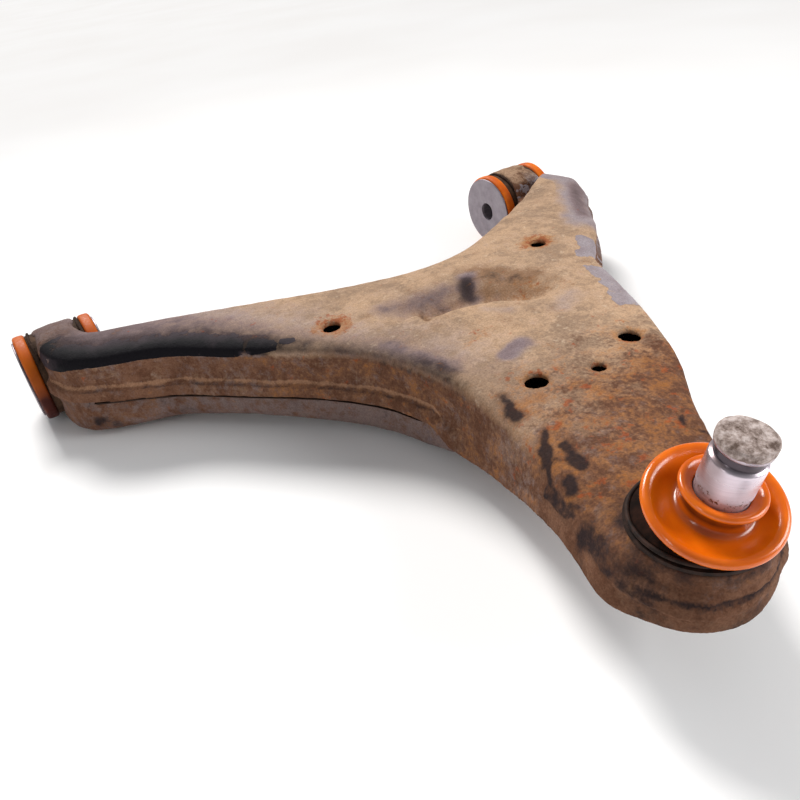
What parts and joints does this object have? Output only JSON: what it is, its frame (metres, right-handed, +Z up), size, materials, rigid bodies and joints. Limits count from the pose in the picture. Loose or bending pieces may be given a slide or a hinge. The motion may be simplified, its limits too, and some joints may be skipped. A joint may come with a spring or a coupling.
{
  "type": "suspension control arm",
  "caption": "Pressed steel A-shaped lower suspension arm with two polyurethane bushes on one hinge line and a ball joint with a booted, grooved stud at its tip.",
  "frame": {"origin": "centre of the front bush's bolt bore", "axes": "+X along the hinge line from the front bush to the rear bush; the ball joint lies towards -Y; +Z up, the side the ball stud leaves"},
  "size_m": [0.382, 0.3812, 0.097],
  "materials": {
    "rusted_painted_steel": "worn grey paint over surface rust",
    "rusted_steel": "rusted",
    "spring_steel": "blackened",
    "seat_plastic": "satin",
    "polyurethane": "glossy cast polyurethane",
    "zinc_plated_steel": "dull plated",
    "stud_steel": "ground, pitted with rust"
  },
  "bodies": {
    "arm": {"upper_shell": "rusted_painted_steel", "lower_shell": "rusted_painted_steel", "front_eye_tube": "rusted_steel", "rear_eye_tube": "rusted_steel", "front_eye_welds": "rusted_steel", "rear_eye_welds": "rusted_steel", "front_side_seam": "rusted_steel", "rear_side_seam": "rusted_steel", "hinge_side_seam": "rusted_steel", "front_bush_outer_half": "polyurethane", "front_bush_inner_half": "polyurethane", "rear_bush_inner_half": "polyurethane", "rear_bush_outer_half": "polyurethane", "ball_housing": "rusted_steel", "housing_circlip": "spring_steel", "upper_ball_seat": "seat_plastic", "lower_ball_seat": "seat_plastic", "bottom_cover": "rusted_steel", "boot_clamp_ring": "spring_steel"},
    "front_sleeve_body": {"front_sleeve": "zinc_plated_steel", "front_washer_outer": "zinc_plated_steel", "front_washer_inner": "zinc_plated_steel"},
    "rear_sleeve_body": {"rear_sleeve": "zinc_plated_steel", "rear_washer_inner": "zinc_plated_steel", "rear_washer_outer": "zinc_plated_steel"},
    "boot_body": {"dust_boot": "polyurethane"},
    "collar_body": {"boot_collar_ring": "zinc_plated_steel"},
    "stud_body": {"ball_stud": "stud_steel"}
  },
  "joints": [
    {"name": "front_sleeve_turn", "type": "hinge", "parent": "arm", "child": "front_sleeve_body", "pos_m": [0, 0, 0], "axis": [1, 0, 0], "continuous": true},
    {"name": "rear_sleeve_turn", "type": "hinge", "parent": "arm", "child": "rear_sleeve_body", "pos_m": [0.336, 0, 0], "axis": [1, 0, 0], "continuous": true},
    {"name": "stud_tilt_x", "type": "hinge", "parent": "arm", "child": "boot_body", "pos_m": [0.142, -0.327, 0.018], "axis": [1, 0, 0], "range_deg": [-32, 8], "deforming": ["dust_boot"]},
    {"name": "stud_tilt_y", "type": "hinge", "parent": "boot_body", "child": "collar_body", "pos_m": [0.142, -0.327, 0.018], "axis": [0, 1, 0], "range_deg": [-17, 13]},
    {"name": "stud_spin", "type": "hinge", "parent": "collar_body", "child": "stud_body", "pos_m": [0.142, -0.327, 0.018], "axis": [0.0341, -0.2079, 0.9776], "continuous": true}
  ]
}
